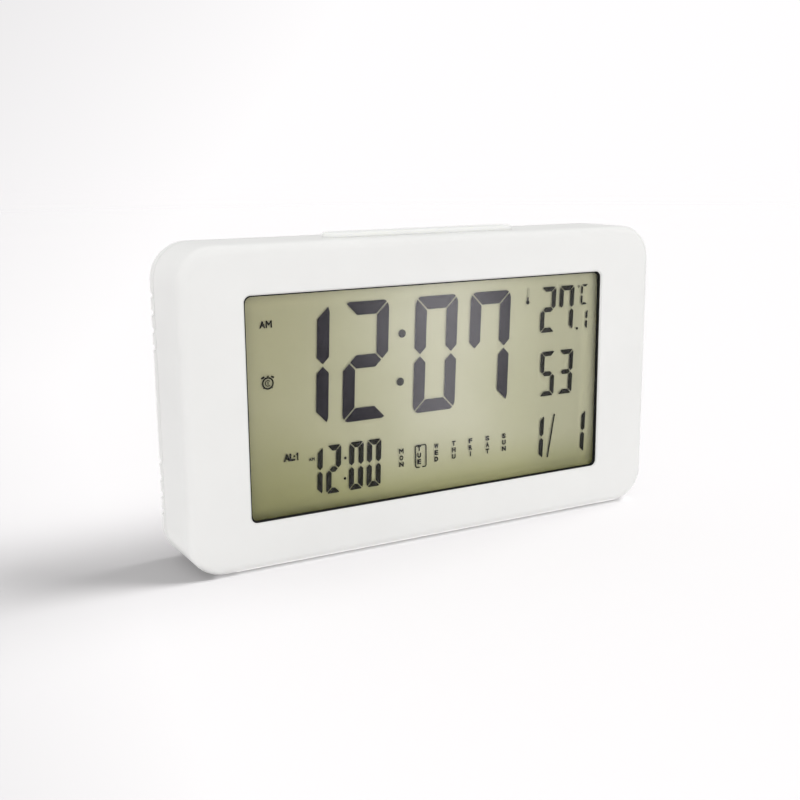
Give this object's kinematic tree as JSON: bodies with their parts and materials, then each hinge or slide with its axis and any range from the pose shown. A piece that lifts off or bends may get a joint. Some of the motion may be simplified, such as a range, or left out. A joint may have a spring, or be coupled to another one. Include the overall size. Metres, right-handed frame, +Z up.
{
  "type": "digital alarm clock",
  "caption": "White upright digital alarm clock with a wide liquid-crystal display, a snooze bar on top, keys, side vents and a battery bay at the back.",
  "frame": {"origin": "on the table under the middle of the clock, at the bottom centre of its bounding box", "axes": "+X along the width, to the right seen from the front; +Y from the front face to the back; +Z up"},
  "size_m": [0.15, 0.0248, 0.0877],
  "materials": {
    "shell": "fine satin moulding",
    "key_plastic": "satin, dished",
    "gasket_foam": "fine closed-cell foam",
    "polariser_film": "matte anti-glare film",
    "display_glass": "polished",
    "reflector_film": "soft pearl reflector",
    "guide_acrylic": "clear acrylic with a printed dot pattern",
    "led_resin": "clear resin",
    "holder_plastic": "moulded",
    "zebra_rubber": "layered silicone",
    "board_laminate": "solder mask",
    "chip_resin": "cured resin",
    "crystal_can": "drawn can",
    "sensor_plastic": "moulded",
    "buzzer_brass": "sheet",
    "snooze_plastic": "translucent satin",
    "switch_plastic": "moulded",
    "cell_sleeve": "shrink sleeve",
    "spring_steel": "nickel plated",
    "contact_plate": "nickel plated",
    "battery_wire": "extruded sleeve",
    "buzzer_wire": "extruded sleeve",
    "screw_steel": "zinc plated",
    "foot_rubber": "soft",
    "display_ink": "liquid-crystal segment that is on",
    "printed_marks": "pad print on the back"
  },
  "bodies": {
    "case": {"front_housing": "shell", "rear_cover": "shell", "lcd_gasket": "gasket_foam", "front_polariser": "polariser_film", "lcd_cell": "display_glass", "lcd_reflector": "reflector_film", "light_guide": "guide_acrylic", "light_leds": "led_resin", "display_frame": "holder_plastic", "zebra_strips": "zebra_rubber", "main_board": "board_laminate", "clock_chip": "chip_resin", "quartz_crystal": "crystal_can", "room_sensor": "sensor_plastic", "buzzer_disc": "buzzer_brass", "snooze_switch": "switch_plastic", "key_switches": "switch_plastic", "battery_upper": "cell_sleeve", "battery_lower": "cell_sleeve", "battery_springs": "spring_steel", "battery_contacts": "contact_plate", "battery_leads": "battery_wire", "buzzer_leads": "buzzer_wire", "cover_screws": "screw_steel", "board_screws": "screw_steel", "rubber_feet": "foot_rubber"},
    "snooze": {"snooze_bar": "snooze_plastic"},
    "door": {"battery_door": "shell"},
    "mode_button": {"mode_key": "key_plastic"},
    "set_button": {"set_key": "key_plastic"},
    "up_button": {"up_key": "key_plastic"},
    "down_button": {"down_key": "key_plastic"},
    "alarm_button": {"alarm_key": "key_plastic"}
  },
  "joints": [
    {"name": "snooze_press", "type": "slide", "parent": "case", "child": "snooze", "axis": [0, 0, -1], "range_m": [0, 0.0008], "stiffness_N_per_m": 800, "springref_m": -0.001},
    {"name": "mode_press", "type": "slide", "parent": "case", "child": "mode_button", "axis": [0, -1, 0], "range_m": [0, 0.0005], "stiffness_N_per_m": 800, "springref_m": -0.001},
    {"name": "set_press", "type": "slide", "parent": "case", "child": "set_button", "axis": [0, -1, 0], "range_m": [0, 0.0005], "stiffness_N_per_m": 800, "springref_m": -0.001},
    {"name": "up_press", "type": "slide", "parent": "case", "child": "up_button", "axis": [0, -1, 0], "range_m": [0, 0.0005], "stiffness_N_per_m": 800, "springref_m": -0.001},
    {"name": "down_press", "type": "slide", "parent": "case", "child": "down_button", "axis": [0, -1, 0], "range_m": [0, 0.0005], "stiffness_N_per_m": 800, "springref_m": -0.001},
    {"name": "alarm_press", "type": "slide", "parent": "case", "child": "alarm_button", "axis": [0, -1, 0], "range_m": [0, 0.0005], "stiffness_N_per_m": 800, "springref_m": -0.001},
    {"name": "door_pull", "type": "slide", "parent": "case", "child": "door", "axis": [0, 1, 0], "range_m": [0, 0.025]}
  ]
}
